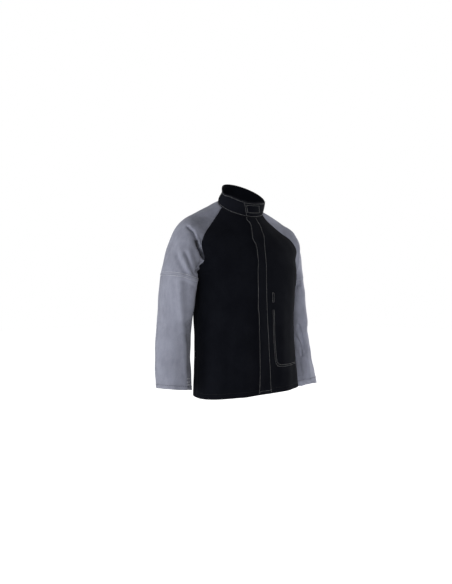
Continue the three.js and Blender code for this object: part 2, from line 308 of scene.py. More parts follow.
# x of the tab's sewn end and of its free end at the bottom and top, and its shares of the collar's height
TAB_SEWN_X = 79.0
TAB_FREE_BOTTOM_X = -24.0
TAB_FREE_TOP_X = -39.0
TAB_BOTTOM = 0.05
TAB_TOP = 0.97
# Rows of stitches on the tab: distance from the free end and from the bottom
TAB_EDGE_ROW = 3.0
TAB_ROWS = (
    ((110, 3), (3, 3), (3, 51.5), (110, 51.5)),
    ((9, 17), (64, 17), (64, 44.5), (9, 44.5), (9, 17)),
)

# Flap over the closure, with its rows of stitches
FLAP_WIDTH = 50.0
FLAP_FREE_X = -21.0
FLAP_SEAM_X = 25.0
FLAP_BOTTOM_LEVEL = 0.05
FLAP_TOP_LEVEL = 9.8
FLAP_END_LEVELS = (0, 0.006, 0.014, 0.024)
FLAP_END_ZONE = 0.03
FLAP_SPREAD_LEVEL = 3.0
FLAP_SPREAD = 12.0
FLAP_SIDE_ROW = 3.2
FLAP_BOTTOM_ROW = 7.0
FLAP_BOTTOM_SINK = 0.5
# Room between the flap and the fronts, lift of its free edge, reach of that lift and the waves in it
FLAP_ROOM = 0.3
FLAP_LIFT = 1.2
FLAP_LIFT_REACH = 30.0
FLAP_LIFT_WAVE = 0.5
FLAP_LIFT_TURNS = 3.3
# Extra thickness of the free edge, and its reach
FLAP_EXTRA = 0.4
FLAP_EXTRA_REACH = 9.0
# How far the free edge wanders towards the wearer's left, from the hem to the collar: level and distance
FLAP_WANDER = (
    (0, -2), (1.2, 2), (2.2, 2), (2.7, -1.5), (3.2, 0.5),
    (4, 0.5), (4.8, 4.5), (5.7, 4), (6.8, -5), (7.6, 0),
    (8.2, 4), (8.7, 6), (9.1, 3), (9.4, -3), (9.8, -4),
)
# The same for the sewn edge
FLAP_SEAM_WANDER = ((0, 0), (3, 0), (5, 0), (6, 2), (7, 9), (7.8, 13), (8.5, 12), (9.2, 5), (9.8, 0))

# Inside pocket behind the left front, and the room between them
POCKET_WIDTH = 125.0
POCKET_ROOM = 0.2
POCKET_BOTTOM_LEVEL = 1.0
POCKET_TOP_LEVEL = 3.22
POCKET_SIDE_SHARE = 0.826
POCKET_FRONT_X = 57.0

# Stitches: pitch, length and thread width, and the share of that width that lifts them off the cloth
SEAM_STITCH = (3.6, 2.9, 1.0)
CUFF_STITCH = (7.0, 4.6, 2.0)
BAR_TACK = (2.2, 2.6, 2.6)
THREAD_LIFT = 0.25
# Steps between the points of a row of stitches with tight corners, and of a long one
TIGHT_STEP = 1.8
LONG_STEP = 2.5

# Tack at the front of the right cuff: rows above the edge, and where they start and end
TACK_ROWS = (17, 27, 38)
TACK_OUTER_X = 279.0
TACK_INNER_X = 260.0


# Smooth lines and spacing


def smooth_line(points, shares):
    """Centripetal Catmull-Rom line through points along the first axis, read at shares from 0 to 1."""
    points = np.asarray(points, float)
    last = len(points) - 1
    knots = np.concatenate([[2 * points[0] - points[1]], points, [2 * points[-1] - points[-2]]])
    place = np.clip(np.asarray(shares, float) * last, 0, last)
    low = np.minimum(place.astype(int), last - 1)
    weight = (place - low).reshape((-1,) + (1,) * (points.ndim - 1))
    p0, p1, p2, p3 = (knots[low + i] for i in range(4))

    def span(a, b):
        return np.maximum(np.sqrt(np.linalg.norm(b - a, axis=-1, keepdims=True)), 1e-4)

    d0, d1, d2 = span(p0, p1), span(p1, p2), span(p2, p3)
    t1 = ((p1 - p0) / d0 - (p2 - p0) / (d0 + d1) + (p2 - p1) / d1) * d1
    t2 = ((p2 - p1) / d1 - (p3 - p1) / (d1 + d2) + (p3 - p2) / d2) * d1
    c2 = -3 * p1 + 3 * p2 - 2 * t1 - t2
    c3 = 2 * p1 - 2 * p2 + t1 + t2
    return p1 + weight * (t1 + weight * (c2 + weight * c3))


def running_length(points):
    """Distance from the first point along a line of points."""
    return np.concatenate([[0], np.cumsum(np.linalg.norm(np.diff(points, axis=0), axis=1))])


def spaced(length, pitch, fine_start=True, fine_end=True):
    """Places along a length, closer together at the ends where cloth rolls into an edge."""
    close = np.array(EDGE_PLACES)
    start = EDGE_ZONE if fine_start else 0.0
    end = length - EDGE_ZONE if fine_end else length
    middle = np.linspace(start, end, max(int((end - start) / pitch), 2) + 1)
    places = [close] if fine_start else []
    places.append(middle)
    if fine_end:
        places.append(length - close[::-1])
    return np.concatenate(places)


def smooth_step(value):
    """Eases from 0 to 1 as the value goes from 0 to 1."""
    value = np.clip(value, 0, 1)
    return value * value * (3 - 2 * value)


def bell(value, reach):
    """One where a value is zero, and less the further from it."""
    return np.exp(-((value / reach) ** 2))


def faded(share, fade):
    """Eases in at the start of a line and out at its end."""
    fade_in, fade_out = fade
    return smooth_step(share / fade_in) * smooth_step((1 - share) / fade_out)


# Surfaces of the body, sleeves and collar


class BodyPanel:
    """Front or back of the body, read by a level up its table and a share of its half width."""

    def __init__(self, rows, tuck):
        self.tuck = tuck
        rows = np.array(rows, float)
        self.last = len(rows) - 1
        self.sides = rows[:, :3]
        self.middles = np.column_stack([np.zeros(len(rows)), rows[:, 3:5]])
        self.squares = rows[:, 5:6]
        self.shares = rows[:, 6:7]

    def side(self, levels):
        lower = smooth_line(self.sides[: UNDERARM + 1], levels / UNDERARM)
        upper = smooth_line(self.sides[UNDERARM:], (levels - UNDERARM) / (self.last - UNDERARM))
        return np.where((levels < UNDERARM)[:, None], lower, upper)

    def seam_share(self, levels):
        raglan = smooth_line(self.shares[UNDERARM:], (levels - UNDERARM) / (self.last - UNDERARM))
        tuck = self.tuck * bell(levels - TUCK_LEVEL, TUCK_REACH)
        return np.where(levels < UNDERARM, 1.0, np.minimum(raglan[:, 0] + tuck, 1.0))

    def points(self, hand, levels, shares):
        """Points in a row for each level, at the row's own shares."""
        side = self.side(levels)[:, None, :]
        middle = smooth_line(self.middles, levels / self.last)[:, None, :]
        square = smooth_line(self.squares, levels / self.last)
        inwards = np.maximum(1 - shares**square, 0) ** (1 / square)
        made = side + (middle - side) * inwards[..., None]
        made[..., 0] = hand * side[..., 0] * shares
        return made

    def seam(self, hand, levels):
        """Points of the side seam and the raglan seam above it."""
        return self.points(hand, levels, self.seam_share(levels)[:, None])[:, 0]

    def even_levels(self, pitch):
        """Levels at even steps up the panel."""
        levels = np.linspace(0, self.last, 600)
        line = (self.side(levels) + smooth_line(self.middles, levels / self.last)) / 2
        length = running_length(line)
        return np.interp(spaced(length[-1], pitch), length, levels)

    def half_grid(self, hand, levels, pitch, fine_middle):
        """Half of the panel with even columns, from the seam to the middle."""
        dense = np.cos(np.linspace(0, math.pi / 2, 300)) ** 0.9
        dense[-1] = 0
        widest = 300.0
        places = spaced(widest, pitch, True, fine_middle) / widest
        shares = []
        for level, edge in zip(levels, self.seam_share(levels)):
            line = self.points(hand, np.array([level]), dense[None] * edge)[0]
            length = running_length(line)
            shares.append(np.interp(places * length[-1], length, dense * edge))
        return self.points(hand, levels, np.array(shares))

    def strip(self, levels, start_x, end_x, places):
        """Points at places between two lines of x, in a row for each level."""
        x = start_x[:, None] + (end_x - start_x)[:, None] * places
        width = self.side(levels)[:, :1]
        found = self.points(1, levels, np.abs(x) / width)
        found[..., 0] *= np.sign(x)
        return found


front_panel = BodyPanel(FRONT_ROWS, ARMPIT_TUCK)
back_panel = BodyPanel(BACK_ROWS, 0.0)


def neck_seam(angles):
    """Points of the neck seam at angles round it: a quarter turn back from the wearer's left is the front."""
    sine = np.sin(angles)
    return np.column_stack([
        NECK_HALF_WIDTH * np.cos(angles),
        NECK_MIDDLE_Y + NECK_HALF_DEPTH * sine,
        NECK_MIDDLE_Z + NECK_RISE * sine,
    ])


def near_angle(angles, middle, reach):
    """One at an angle round the neck, and less the further from it."""
    return bell(np.angle(np.exp(1j * (angles - middle))), reach)


def collar_top(angles):
    """Points of the collar's top edge above the neck seam."""
    x = COLLAR_HALF_WIDTH * np.cos(angles)
    back = COLLAR_HALF_DEPTH * np.sin(angles)
    rise = COLLAR_TAB_RISE * near_angle(angles, COLLAR_TAB_ANGLE, COLLAR_TAB_REACH)
    dip = COLLAR_DIP * near_angle(angles, COLLAR_DIP_ANGLE, COLLAR_DIP_REACH)
    z = COLLAR_MIDDLE_Z + back * COLLAR_BACK_RISE - x * COLLAR_LEFT_DROP + rise - dip
    return np.column_stack([x, COLLAR_MIDDLE_Y + back, z])


def evenly(points, pitch):
    """The same line of points at even steps."""
    length = running_length(points)
    places = np.linspace(0, length[-1], int(length[-1] / pitch) + 1)
    return np.column_stack([np.interp(places, length, points[:, i]) for i in range(3)])


def raglan_loop(hand, pitch):
    """Points round a sleeve's raglan seam and neck edge: down the front, up the back and over the neck."""
    levels = np.linspace(UNDERARM, front_panel.last, 500)
    front = evenly(front_panel.seam(hand, levels)[::-1], pitch)
    back = evenly(back_panel.seam(hand, levels), pitch)
    start = math.acos(back_panel.shares[-1, 0])
    end = -math.acos(front_panel.shares[-1, 0])
    neck = evenly(neck_seam(np.linspace(start, end, 100)) * (hand, 1, 1), pitch)
    return np.concatenate([front[:-1], back[:-1], neck[:-1]])


def sided(points, hand):
    """Points with x counted outwards, set on the wearer's right or left."""
    return np.array(points, float) * (hand, 1, 1)


def sleeve_grid(hand):
    """A whole sleeve as lines from the raglan loop to the cuff, and the column of the arm seam."""
    loop = raglan_loop(hand, SLEEVE_ROUND_STEP)
    rows = np.array(SLEEVE_ROWS[hand], float)
    over = sided(rows[:, 0:3], hand)
    under = sided(rows[:, 3:6], hand)
    middle = (over + under) / 2
    half = (over - under) / 2
    away = loop - middle[0]
    reach = np.where(away[:, 1] < 0, rows[0, 6], rows[0, 7])
    angles = np.arctan2(-away[:, 1] / reach, away @ half[0] / (half[0] @ half[0]))
    knots = [loop]
    for i, row in enumerate(rows):
        reach = np.where(np.sin(angles) > 0, row[6], row[7])
        section = middle[i] + half[i] * np.cos(angles)[:, None]
        section[:, 1] -= reach * np.sin(angles)
        knots.append(section)
    knots = np.stack(knots)
    last = len(knots) - 1
    dense = np.linspace(0, last, 800)
    lines = smooth_line(knots, dense / last)
    longest = np.argmax(np.linalg.norm(np.diff(lines, axis=0), axis=2).sum(0))
    length = running_length(lines[:, longest])
    seam_length = np.interp(ARM_SEAM, dense, length)
    upper = np.interp(spaced(seam_length, UPPER_SLEEVE_STEP), length, dense)
    lower_places = seam_length + spaced(length[-1] - seam_length, LOWER_SLEEVE_STEP)
    lower = np.interp(lower_places, length, dense)
    upper[-1] = lower[0] = ARM_SEAM
    levels = np.concatenate([upper, lower[1:]])
    grid = smooth_line(knots, levels / last).transpose(1, 0, 2)
    return grid, len(upper) - 1


# Objects and nodes


def add_object(name, data):
    """An object in the scene with its mesh, lamp or lens."""
    made = bpy.data.objects.new(name, data)
    bpy.context.scene.collection.objects.link(made)
    return made


def set_inputs(tree, node, inputs):
    """Sets inputs of a node to values or to other nodes' outputs."""
    for socket, value in inputs.items():
        if isinstance(value, bpy.types.NodeSocket):
            tree.links.new(value, node.inputs[socket])
        else:
            node.inputs[socket].default_value = value


def add_node(tree, kind, inputs=None, **settings):
    """A node with its inputs and settings."""
    made = tree.nodes.new(kind)
    for name, value in settings.items():
        setattr(made, name, value)
    set_inputs(tree, made, inputs or {})
    return made


def node_group(name, kind, inputs, outputs):
    """An empty node group with named sockets, and its ends."""
    tree = bpy.data.node_groups.new(name, kind)
    for in_out, sockets in (("INPUT", inputs), ("OUTPUT", outputs)):
        for label, value in sockets.items():
            tree.interface.new_socket(label, in_out=in_out, socket_type="NodeSocket" + value)
    start = tree.nodes.new("NodeGroupInput").outputs
    end = tree.nodes.new("NodeGroupOutput").inputs
    return tree, start, end


# Cloth pieces


def grid_normals(grid, outward, ring):
    """Unit directions that leave a grid's surface on its outside."""
    along = np.roll(grid, -1, 0) - np.roll(grid, 1, 0) if ring else np.gradient(grid, axis=0)
    across = np.gradient(grid, axis=1)
    normals = np.cross(along, across) * outward
    return normals / np.maximum(np.linalg.norm(normals, axis=2, keepdims=True), 1e-9)


class Cloth:
    """A sewn piece: a grid of its middle surface and how far its two faces lie from it."""

    def __init__(self, grid, outward, ring=False):
        self.grid = grid
        self.outward = outward
        self.ring = ring
        self.normals = grid_normals(grid, outward, ring)
        across = np.linalg.norm(np.diff(grid, axis=1), axis=2).cumsum(1)
        first = np.pad(across, ((0, 0), (1, 0)))
        along = np.linalg.norm(np.diff(grid, axis=0), axis=2).cumsum(0)
        start = np.pad(along, ((1, 0), (0, 0)))
        self.far = {"first": first, "last": first[:, -1:] - first, "start": start, "end": start[-1:] - start}
        self.outer = np.full(grid.shape[:2], CLOTH / 2)
        self.inner = np.full(grid.shape[:2], -CLOTH / 2)
        # Depth of each crease, by which the leather's colour is darkened as painted shade
        self.crease = np.zeros(grid.shape[:2])

    def push(self, amount):
        """Moves the cloth outwards."""
        self.grid = self.grid + self.normals * amount[..., None]
        self.normals = grid_normals(self.grid, self.outward, self.ring)

    def roll_in(self, edge, reach, depth):
        """Rolls the outside down into a seam."""
        self.outer = self.outer - depth * bell(self.far[edge], reach)

    def turn_up(self, edge, width, outside, inside):
        """Thickens the cloth where an edge is turned in and sewn down."""
        band = 1 / (1 + np.exp(np.clip((self.far[edge] - width) / TURN_SOFTNESS, -40, 40)))
        self.outer = self.outer + outside * band
        self.inner = self.inner - inside * band

    def sink_stitches(self, edge, distance, depth):
        """Draws the outside in along a row of stitches beside an edge."""
        self.outer = self.outer - depth * bell(self.far[edge] - distance, STITCH_SINK_REACH)

    def outside(self):
        return self.grid + self.normals * self.outer[..., None]

    def inside(self):
        return self.grid + self.normals * self.inner[..., None]

    def edge_distance(self):
        edges = ("first", "last") if self.ring else ("first", "last", "start", "end")
        return np.min([self.far[edge] for edge in edges], axis=0)


def cloth_object(name, cloth, material):
    """Closed mesh of a cloth piece with rounded rims, its map, edge distance and the depth of its creases, by
    which the leather is darkened as painted shade.
    """
    rows, columns = cloth.grid.shape[:2]
    count = rows * columns
    index = np.arange(count).reshape(rows, columns)
    wrapped = np.vstack([index, index[:1]]) if cloth.ring else index
    corners = (wrapped[:-1, :-1], wrapped[1:, :-1], wrapped[1:, 1:], wrapped[:-1, 1:])
    quads = np.stack(corners, axis=-1).reshape(-1, 4)
    faces = [quads, quads[:, ::-1] + count]

    away = np.zeros_like(cloth.grid)
    if not cloth.ring:
        away[0] = cloth.grid[0] - cloth.grid[1]
        away[-1] = cloth.grid[-1] - cloth.grid[-2]
    away[:, 0] += cloth.grid[:, 0] - cloth.grid[:, 1]
    away[:, -1] += cloth.grid[:, -1] - cloth.grid[:, -2]
    away = (away / np.maximum(np.linalg.norm(away, axis=2, keepdims=True), 1e-9)).reshape(-1, 3)
    if cloth.ring:
        loops = [index[::-1, 0], index[:, -1]]
    else:
        loops = [np.concatenate([index[0, :-1], index[:-1, -1], index[-1, :0:-1], index[:0:-1, 0]])]

    outer = cloth.outside().reshape(-1, 3)
    inner = cloth.inside().reshape(-1, 3)
    thick = (cloth.outer - cloth.inner).reshape(-1)
    layers = (cloth.edge_distance(), cloth.crease, cloth.far["first"], cloth.far["start"])
    carried = np.stack(layers, axis=-1).reshape(-1, len(layers))
    points = [outer, inner]
    values = [carried, carried]
    rim = 2 * count
    for loop in loops:
        following = np.roll(loop, -1)
        edge = rim + np.arange(len(loop))
        next_edge = np.roll(edge, -1)
        faces.append(np.column_stack([loop, following, next_edge, edge]))
        faces.append(np.column_stack([edge, next_edge, following + count, loop + count]))
        points.append((outer[loop] + inner[loop]) / 2 + away[loop] * thick[loop, None] * RIM_BULGE)
        values.append(carried[loop])
        rim += len(loop)
    faces = np.concatenate(faces)
    if cloth.outward < 0:
        faces = faces[:, ::-1]
    points = np.concatenate(points) * MM
    values = np.concatenate(values)

    mesh = bpy.data.meshes.new(name)
    mesh.from_pydata(points.tolist(), [], faces.tolist())
    mesh.polygons.foreach_set("use_smooth", np.ones(len(faces), bool))
    for column, label in enumerate(("edge_mm", "crease_shade_mm")):
        attribute = mesh.attributes.new(label, "FLOAT", "POINT")
        attribute.data.foreach_set("value", values[:, column].astype(np.float32))
    if not cloth.ring:
        cloth_map = mesh.uv_layers.new(name="cloth_map")
        corner_points = np.zeros(len(mesh.loops), np.int32)
        mesh.loops.foreach_get("vertex_index", corner_points)
        flats = values[:, 2:] * MM
        cloth_map.data.foreach_set("uv", flats[corner_points].astype(np.float32).reshape(-1))
    mesh.materials.append(material)
    mesh.update()
    return add_object(name, mesh)


# Folds and drape


def line_reach(points, line):
    """Offset of points from the closest place on a line, its direction there and the share along it."""
    lengths = running_length(line)
    best = np.full(points.shape[:-1], np.inf)
    offset = np.zeros_like(points)
    heading = np.zeros_like(points)
    share = np.zeros(points.shape[:-1])
    for i in range(len(line) - 1):
        step = line[i + 1] - line[i]
        t = np.clip((points - line[i]) @ step / (step @ step), 0, 1)
        gap = points - (line[i] + t[..., None] * step)
        distance = np.linalg.norm(gap, axis=-1)
        closer = distance < best
        best = np.where(closer, distance, best)
        offset = np.where(closer[..., None], gap, offset)
        heading = np.where(closer[..., None], step / np.linalg.norm(step), heading)
        along = lengths[i] + t * (lengths[i + 1] - lengths[i])
        share = np.where(closer, along / lengths[-1], share)
    return offset, heading, share


def over_leather(sleeve, offset):
    """Length of an offset over the leather, where a little height above or below it doesn't count."""
    lift = np.sum(offset * sleeve.normals, axis=-1)
    beside = np.linalg.norm(offset - sleeve.normals * lift[..., None], axis=-1)
    return np.hypot(beside, np.maximum(np.abs(lift) - FOLD_SLACK, 0))


def push_leather(sleeve, hand):
    """Flattens a sleeve where it lies against the body, and straightens its cuff."""
    shift = np.zeros_like(sleeve.grid)
    for width, push, line in SLEEVE_PUSHES[hand]:
        offset, _, _ = line_reach(sleeve.grid, sided(line, hand))
        near = bell(over_leather(sleeve, offset), width)
        shift += near[..., None] * sided(push, hand)
    return Cloth(sleeve.grid + shift, hand, True)


def fold_leather(sleeve, hand):
    """Presses the folds into a sleeve, and leaves its sewn edge where it is."""
    pressed = np.zeros(sleeve.grid.shape[:2])
    for width, sink, ridge, line in SLEEVE_FOLDS[hand]:
        offset, heading, share = line_reach(sleeve.grid, sided(line, hand))
        distance = over_leather(sleeve, offset)
        amount = -sink * bell(distance, width)
        if width < CREASE_WIDTH:
            # Painted shade: a narrow crease records its depth here, and the leather's colour is darkened by
            # it
            painted_crease_shade = sink * bell(distance, CREASE_REACH * width) * faded(share, CREASE_FADE)
            sleeve.crease = np.maximum(sleeve.crease, painted_crease_shade)
        if ridge:
            across = np.cross(sleeve.normals, heading) * -hand
            sideways = np.sum(across * offset, axis=-1)
            lengthways = np.sqrt(np.maximum(distance**2 - sideways**2, 0))
            from_ridge = np.hypot(sideways - RIDGE_PLACE * width, lengthways)
            amount += ridge * bell(from_ridge, RIDGE_REACH * width)
            amount *= faded(share, FOLD_FADE)
        pressed += amount
    sleeve.push(pressed * smooth_step(sleeve.far["first"] / FOLD_START))


def body_drape(points, seed):
    """Soft hanging folds, which grow towards the hem and die out at the chest and the side seams."""
    x = points[..., 0]
    z = points[..., 2]
    down = smooth_step((DRAPE_TOP_Z - z) / DRAPE_GROWTH)
    inside = 1 - np.clip(np.abs(x) / DRAPE_HALF_WIDTH, 0, 1) ** 6
    chance = np.random.default_rng(seed)
    waves = np.zeros_like(x)
    for length, height in DRAPE_WAVES:
        lean = chance.uniform(-DRAPE_LEAN, DRAPE_LEAN)
        phase = chance.uniform(0, 2 * math.pi)
        waves += height * np.sin(2 * math.pi * (x + lean * z) / length + phase)
    return waves * inside * down


def soft_waves(points, seed, length, height):
    """Gentle unevenness of worn cloth, the same wherever two pieces meet."""
    chance = np.random.default_rng(seed)
    waves = np.zeros(points.shape[:-1])
    for _ in range(WAVE_COUNT):
        direction = chance.normal(size=3)
        direction /= np.linalg.norm(direction)
        stretch = length * chance.uniform(*WAVE_STRETCH)
        waves += np.sin(2 * math.pi * (points @ direction) / stretch + chance.uniform(0, 2 * math.pi))
    return waves * height / WAVE_SPREAD


def finish_panel(panel, seams):
    """Rolls a body panel into its seams, and turns up and sews its hem."""
    for edge in seams:
        panel.roll_in(edge, *BODY_SEAM_ROLL)
    panel.turn_up("start", HEM_WIDTH, *HEM_TURN)
    panel.sink_stitches("start", HEM_ROW, STITCH_SINK)


def make_front(hand):
    levels = front_panel.even_levels(FRONT_STEP)
    grid = front_panel.half_grid(hand, levels, FRONT_STEP, True)
    front = Cloth(grid, hand)
    held = smooth_step(front.far["first"] / BODY_HOLD)
    front.push(body_drape(grid, FRONT_DRAPE_SEED) + soft_waves(grid, *FRONT_WAVES) * held)
    finish_panel(front, ("first", "end"))
    return front


def make_back():
    levels = back_panel.even_levels(BACK_STEP)
    halves = [back_panel.half_grid(hand, levels, BACK_STEP, False) for hand in (RIGHT, LEFT)]
    grid = np.concatenate([halves[0], halves[1][:, -2::-1]], axis=1)
    back = Cloth(grid, 1)
    held = smooth_step(np.minimum(back.far["first"], back.far["last"]) / BODY_HOLD)
    back.push(body_drape(grid, BACK_DRAPE_SEED) + soft_waves(grid, *BACK_WAVES) * held)
    finish_panel(back, ("first", "last", "end"))
    return back


def make_sleeve(hand):
    """Upper and lower piece of a sleeve, folded as one and then cut at the arm seam."""
    grid, seam = sleeve_grid(hand)
    sleeve = Cloth(grid, hand, True)
    held = smooth_step(sleeve.far["first"] / SLEEVE_HOLD)
    sleeve.push(soft_waves(grid, *SLEEVE_WAVES[hand]) * held)
    sleeve = push_leather(sleeve, hand)
    fold_leather(sleeve, hand)
    upper = Cloth(sleeve.grid[:, : seam + 1], hand, True)
    lower = Cloth(sleeve.grid[:, seam:], hand, True)
    upper.crease = sleeve.crease[:, : seam + 1]
    lower.crease = sleeve.crease[:, seam:]
    upper.roll_in("first", *RAGLAN_ROLL)
    above, below = ARM_SEAM_ROWS[hand]
    upper.outer = upper.outer + ARM_SEAM_LAP * bell(upper.far["last"], above + ARM_SEAM_LAP_REACH)
    upper.sink_stitches("last", above, STITCH_SINK)
    lower.roll_in("first", *ARM_SEAM_ROLL)
    lower.sink_stitches("first", below, STITCH_SINK)
    lower.turn_up("last", CUFF_WIDTH[hand], *CUFF_TURN)
    lower.sink_stitches("last", CUFF_ROW[hand], CUFF_SINK)
    return upper, lower


def collar_surface(angles, shares):
    """Rows of the collar at shares of its height."""
    bottom = neck_seam(angles)[None]
    top = collar_top(angles)[None]
    shares = np.asarray(shares)[:, None, None]
    return bottom + (top - bottom) * shares


def bowed(cloth):
    """One along the middle of a band of cloth, and nothing at its two long edges."""
    below = cloth.far["start"]
    above = cloth.far["end"]
    return 4 * (below * above) / (below + above) ** 2


def make_collar():
    dense = np.linspace(-math.pi / 2, -2.5 * math.pi, 800)
    length = running_length(neck_seam(dense))
    angles = np.interp(spaced(length[-1], COLLAR_ROUND_STEP), length, dense)
    shares = spaced(COLLAR_HEIGHT, COLLAR_UP_STEP) / COLLAR_HEIGHT
    grid = collar_surface(angles, shares)
    collar = Cloth(grid, 1)
    around = near_angle(angles, COLLAR_WAIST_ANGLE, COLLAR_WAIST_REACH)
    upright = bell(shares - COLLAR_WAIST_SHARE, COLLAR_WAIST_HEIGHT)
    started = smooth_step(shares / COLLAR_WAIST_START)
    collar.push(-COLLAR_WAIST * upright[:, None] * around * started[:, None])
    collar.push(bowed(collar) * (COLLAR_BOW + soft_waves(grid, *COLLAR_WAVES)))
    collar.outer = collar.outer + COLLAR_EXTRA[0]
    collar.inner = collar.inner - COLLAR_EXTRA[1]
    collar.roll_in("start", *COLLAR_ROLL)
    collar.sink_stitches("start", COLLAR_BOTTOM_ROW, STITCH_SINK)
    collar.sink_stitches("end", COLLAR_TOP_ROW, STITCH_SINK)
    return collar


def make_tab():
    """Throat tab over the collar's front, from its sewn end on the wearer's left to its slanting free end."""
    def angle(x):
        return -np.arccos(x / NECK_HALF_WIDTH)

    shares = TAB_BOTTOM + (TAB_TOP - TAB_BOTTOM) * spaced(TAB_HEIGHT, TAB_UP_STEP) / TAB_HEIGHT
    places = spaced(TAB_LENGTH, TAB_ALONG_STEP) / TAB_LENGTH
    rows = []
    for share in shares:
        free = TAB_FREE_BOTTOM_X + (TAB_FREE_TOP_X - TAB_FREE_BOTTOM_X) * smooth_step(share)
        angles = angle(TAB_SEWN_X) + (angle(free) - angle(TAB_SEWN_X)) * places
        rows.append(collar_surface(angles, [share])[0])
    tab = Cloth(np.array(rows), 1)
    lift = TAB_LIFT * smooth_step(1 - tab.far["last"] / TAB_LIFT_REACH)
    tab.push(CLOTH + LAP + TAB_ROOM + bowed(tab) * TAB_BOW + lift)
    tab.outer = tab.outer + TAB_EXTRA
    for edge in ("last", "start", "end"):
        tab.sink_stitches(edge, TAB_EDGE_ROW, STITCH_SINK)
    return tab


def wandering(table, levels):
    """Distance that an edge of the flap wanders at each level, along a smooth line through a table."""
    line = smooth_line(table, np.linspace(0, 1, 200))
    return np.interp(levels, line[:, 0], line[:, 1])


def make_flap():
    levels = front_panel.even_levels(FLAP_ALONG_STEP)
    above = levels > FLAP_BOTTOM_LEVEL + FLAP_END_ZONE
    below = levels < FLAP_TOP_LEVEL - FLAP_END_ZONE
    ends = np.array(FLAP_END_LEVELS)
    levels = np.concatenate([FLAP_BOTTOM_LEVEL + ends, levels[above & below], FLAP_TOP_LEVEL - ends[::-1]])
    places = spaced(FLAP_WIDTH, FLAP_ACROSS_STEP) / FLAP_WIDTH
    free = FLAP_FREE_X + wandering(FLAP_WANDER, levels)
    spread = FLAP_SPREAD * np.maximum(1 - levels / FLAP_SPREAD_LEVEL, 0)
    seam = FLAP_SEAM_X + spread + wandering(FLAP_SEAM_WANDER, levels)
    grid = front_panel.strip(levels, free, seam, places)
    flap = Cloth(grid, -1)
    uneven = 1 + FLAP_LIFT_WAVE * np.sin(levels * FLAP_LIFT_TURNS)
    lift = FLAP_LIFT * smooth_step(1 - flap.far["first"] / FLAP_LIFT_REACH) * uneven[:, None]
    drape = body_drape(grid, FRONT_DRAPE_SEED)
    flap.push(CLOTH + LAP + FLAP_ROOM + drape + soft_waves(grid, *FRONT_WAVES) + lift)
    flap.outer = flap.outer + FLAP_EXTRA * bell(flap.far["first"], FLAP_EXTRA_REACH)
    flap.roll_in("last", *FLAP_ROLL)
    flap.sink_stitches("first", FLAP_SIDE_ROW, STITCH_SINK)
    flap.sink_stitches("last", FLAP_SIDE_ROW, STITCH_SINK)
    flap.sink_stitches("start", FLAP_BOTTOM_ROW, FLAP_BOTTOM_SINK)
    return flap


def make_pocket():
    levels = np.linspace(POCKET_BOTTOM_LEVEL, POCKET_TOP_LEVEL, POCKET_LEVELS)
    outer_x = front_panel.side(levels)[:, 0] * POCKET_SIDE_SHARE
    places = spaced(POCKET_WIDTH, POCKET_ACROSS_STEP) / POCKET_WIDTH
    grid = front_panel.strip(levels, outer_x, POCKET_FRONT_X, places)
    pocket = Cloth(grid, 1)
    drape = body_drape(grid, FRONT_DRAPE_SEED)
    pocket.push(drape + soft_waves(grid, *FRONT_WAVES) - CLOTH - LAP - POCKET_ROOM)
    return pocket


# Rows of stitches


def beside_edge(cloth, edge, distance):
    """Row and column places of a line that keeps its distance from an edge."""
    row_by_row = edge in ("first", "last")
    far = cloth.far[edge] if row_by_row else cloth.far[edge].T
    along = np.arange(len(far), dtype=float)
    inwards = np.array([place_at(line, distance) for line in far])
    return (along, inwards) if row_by_row else (inwards, along)


def place_at(values, wanted):
    """Place in a list of rising or falling values where a value is met."""
    places = np.arange(len(values), dtype=float)
    if values[0] > values[-1]:
        return np.interp(wanted, values[::-1], places[::-1])
    return np.interp(wanted, values, places)


def on_outside(cloth, rows, columns):
    """Points and outward directions on a cloth's outside at row and column places."""
    outside = cloth.outside()
    normals = grid_normals(outside, cloth.outward, cloth.ring)
    count = outside.shape[0]
    low_row = np.floor(rows).astype(int)
    low_row = low_row if cloth.ring else np.clip(low_row, 0, count - 2)
    low_column = np.clip(np.floor(columns).astype(int), 0, outside.shape[1] - 2)
    r = (rows - low_row)[:, None]
    c = (columns - low_column)[:, None]

    def between(values):
        lower = values[low_row % count, low_column] * (1 - c) + values[low_row % count, low_column + 1] * c
        next_row = (low_row + 1) % count
        upper = values[next_row, low_column] * (1 - c) + values[next_row, low_column + 1] * c
        return lower * (1 - r) + upper * r

    return between(outside), between(normals)


def front_places(front, line):
    """Row and column places on a front of a line given by x and z."""
    outside = front.outside()
    rows = []
    columns = []
    for x, z in line:
        by_row = np.array([place_at(row, x) for row in outside[:, :, 0]])
        heights = outside[np.arange(len(by_row)), np.round(by_row).astype(int), 2]
        row = place_at(heights, z)
        rows.append(row)
        columns.append(np.interp(row, np.arange(len(by_row)), by_row))
    return np.array(rows), np.array(columns)


def tab_places(tab, line):
    """Row and column places on the tab of a line given from its free end and from its bottom."""
    middle = tab.far["last"].shape[1] // 2
    rows = np.array([place_at(tab.far["start"][:, middle], up) for _, up in line])
    columns = np.array([
        place_at(tab.far["last"][int(round(row))], back) for row, (back, _) in zip(rows, line)
    ])
    return rows, columns


def dense_line(corners, step):
    """The same line of corners with a point at every step."""
    corners = np.array(corners, float)
    padded = np.column_stack([corners, np.zeros(len(corners))])
    return evenly(padded, step)[:, :2]


